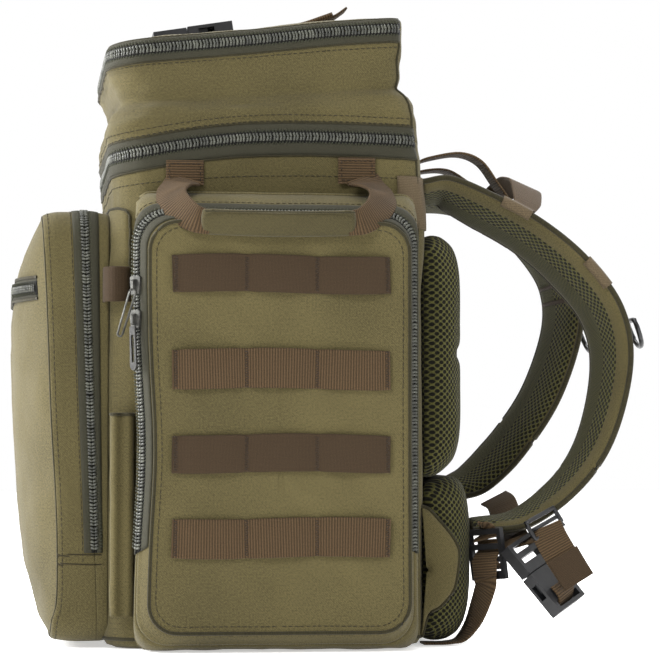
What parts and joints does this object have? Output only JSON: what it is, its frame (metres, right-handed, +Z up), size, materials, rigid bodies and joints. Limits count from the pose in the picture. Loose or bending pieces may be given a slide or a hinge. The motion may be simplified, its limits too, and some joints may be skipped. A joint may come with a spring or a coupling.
{
  "type": "tackle backpack",
  "caption": "Boxy fishing backpack with a zipped upper box and lid, side and front pockets, webbing rows, carry handles and padded harness",
  "frame": {"origin": "middle of the flat underside of the main compartment's floor", "axes": "+Z up, +X towards the wearer's back, -Y the near side with the webbing rows"},
  "size_m": [0.4689, 0.346, 0.4792],
  "materials": {
    "olive_fabric": "matte olive woven nylon",
    "brown_webbing": "ribbed brown nylon webbing",
    "zip_tape": "grey-green zip tape with coil chain",
    "spacer_mesh": "olive open spacer mesh over foam",
    "black_plastic": "satin charcoal moulded plastic",
    "dark_metal": "satin gunmetal zip sliders and rings"
  },
  "bodies": {
    "pack_body": {"main_compartment": "olive_fabric", "base_board": "black_plastic", "frame_sheet": "black_plastic", "back_pad": "spacer_mesh", "lumbar_pad": "spacer_mesh", "hip_wing_near": "olive_fabric", "hip_wing_far": "olive_fabric", "anchor_band": "brown_webbing", "main_zip_lower": "zip_tape", "front_pocket": "olive_fabric", "front_zip_rear": "zip_tape", "side_pocket_near": "olive_fabric", "side_zip_near_outer": "zip_tape", "side_pocket_far": "olive_fabric", "load_lifter_near": "brown_webbing", "load_lifter_far": "brown_webbing", "grab_handle": "brown_webbing", "shoulder_strap_near": "spacer_mesh", "shoulder_strap_far": "spacer_mesh", "adjuster_webbing_near": "brown_webbing", "adjuster_webbing_far": "brown_webbing", "sternum_webbing": "brown_webbing", "tool_loop": "brown_webbing", "tool_sleeve": "olive_fabric", "ladder_lock_near": "black_plastic", "ladder_lock_far": "black_plastic", "sternum_buckle_male": "black_plastic"},
    "upper_box": {"upper_compartment": "olive_fabric", "main_zip_upper": "zip_tape", "lid_zip_lower": "zip_tape"},
    "lid_body": {"lid": "olive_fabric", "lid_zip_upper": "zip_tape", "lid_strap_rear": "brown_webbing", "lid_buckle_female": "black_plastic"},
    "lid_plug": {"lid_strap_front": "brown_webbing", "lid_buckle_male": "black_plastic"},
    "front_flap": {"front_panel": "olive_fabric", "front_zip_front": "zip_tape", "front_small_zip": "zip_tape"},
    "near_flap": {"side_panel_near": "olive_fabric", "side_zip_near_inner": "zip_tape", "webbing_row_near_1": "brown_webbing", "webbing_row_near_2": "brown_webbing", "webbing_row_near_3": "brown_webbing", "webbing_row_near_4": "brown_webbing"},
    "far_flap": {"side_panel_far": "olive_fabric"},
    "near_handle": {"handle_webbing_near": "brown_webbing", "handle_grip_near": "olive_fabric"},
    "far_handle": {"side_handle_far": "brown_webbing"},
    "near_upper_slider": {"zip_slider_near_upper": "dark_metal"},
    "near_upper_pull": {"zip_pull_near_upper": "dark_metal"},
    "near_lower_slider": {"zip_slider_near_lower": "dark_metal"},
    "near_lower_pull": {"zip_pull_near_lower": "dark_metal"},
    "near_d_ring": {"d_ring_near": "dark_metal"},
    "far_d_ring": {"d_ring_far": "dark_metal"},
    "sternum_socket": {"sternum_buckle_female": "black_plastic", "sternum_tail": "brown_webbing"},
    "main_slider": {"main_zip_slider": "dark_metal"},
    "lid_slider": {"lid_zip_slider": "dark_metal"},
    "front_slider": {"front_zip_slider": "dark_metal"}
  },
  "joints": [
    {"name": "upper_box_hinge", "type": "hinge", "parent": "pack_body", "child": "upper_box", "pos_m": [0.1165, 0, 0.36688], "axis": [0, 1, 0], "range_deg": [0, 75]},
    {"name": "lid_hinge", "type": "hinge", "parent": "upper_box", "child": "lid_body", "pos_m": [0.1025, 0, 0.4465], "axis": [0, 1, 0], "range_deg": [0, 90]},
    {"name": "lid_buckle_release", "type": "slide", "parent": "lid_body", "child": "lid_plug", "axis": [-0.9874, 0, -0.158], "range_m": [0, 0.024]},
    {"name": "front_flap_hinge", "type": "hinge", "parent": "pack_body", "child": "front_flap", "pos_m": [-0.168, 0, 0.066], "axis": [0, -1, 0], "range_deg": [0, 95]},
    {"name": "near_flap_hinge", "type": "hinge", "parent": "pack_body", "child": "near_flap", "pos_m": [0, -0.1613, 0.068], "axis": [1, 0, 0], "range_deg": [0, 90]},
    {"name": "far_flap_hinge", "type": "hinge", "parent": "pack_body", "child": "far_flap", "pos_m": [0, 0.1613, 0.068], "axis": [-1, 0, 0], "range_deg": [0, 90]},
    {"name": "near_handle_hinge", "type": "hinge", "parent": "pack_body", "child": "near_handle", "pos_m": [0, -0.117, 0.331], "axis": [-1, 0, 0], "range_deg": [0, 90]},
    {"name": "far_handle_hinge", "type": "hinge", "parent": "pack_body", "child": "far_handle", "pos_m": [0, 0.117, 0.331], "axis": [1, 0, 0], "range_deg": [0, 90]},
    {"name": "near_upper_slide", "type": "slide", "parent": "near_flap", "child": "near_upper_slider", "axis": [0, 0, 1], "range_m": [0, 0.024]},
    {"name": "near_upper_pull_hinge", "type": "hinge", "parent": "near_upper_slider", "child": "near_upper_pull", "pos_m": [-0.09558, -0.15365, 0.2506], "axis": [-0.6791, 0.734, 0], "range_deg": [0, 120]},
    {"name": "near_lower_slide", "type": "slide", "parent": "near_flap", "child": "near_lower_slider", "axis": [0, 0, 1], "range_m": [-0.15, 0]},
    {"name": "near_lower_pull_hinge", "type": "hinge", "parent": "near_lower_slider", "child": "near_lower_pull", "pos_m": [-0.09558, -0.15365, 0.2266], "axis": [-0.6791, 0.734, 0], "range_deg": [0, 40]},
    {"name": "near_d_ring_hinge", "type": "hinge", "parent": "pack_body", "child": "near_d_ring", "pos_m": [0.2792, -0.066, 0.238], "axis": [0, -1, 0], "range_deg": [-3, 110]},
    {"name": "far_d_ring_hinge", "type": "hinge", "parent": "pack_body", "child": "far_d_ring", "pos_m": [0.2705, 0.063, 0.24], "axis": [0, -1, 0], "range_deg": [-3, 110]},
    {"name": "sternum_buckle_release", "type": "slide", "parent": "pack_body", "child": "sternum_socket", "axis": [0.5996, -0.2199, -0.7695], "range_m": [0, 0.02]},
    {"name": "main_zip_slide", "type": "slide", "parent": "pack_body", "child": "main_slider", "axis": [0.9985, 0, 0.0549], "range_m": [-0.11, 0.05]},
    {"name": "lid_zip_slide", "type": "slide", "parent": "upper_box", "child": "lid_slider", "axis": [0.995, 0, 0.0995], "range_m": [-0.09, 0.055]},
    {"name": "front_zip_slide", "type": "slide", "parent": "pack_body", "child": "front_slider", "axis": [-0.0205, 0, 0.9998], "range_m": [-0.17, 0.03]}
  ]
}
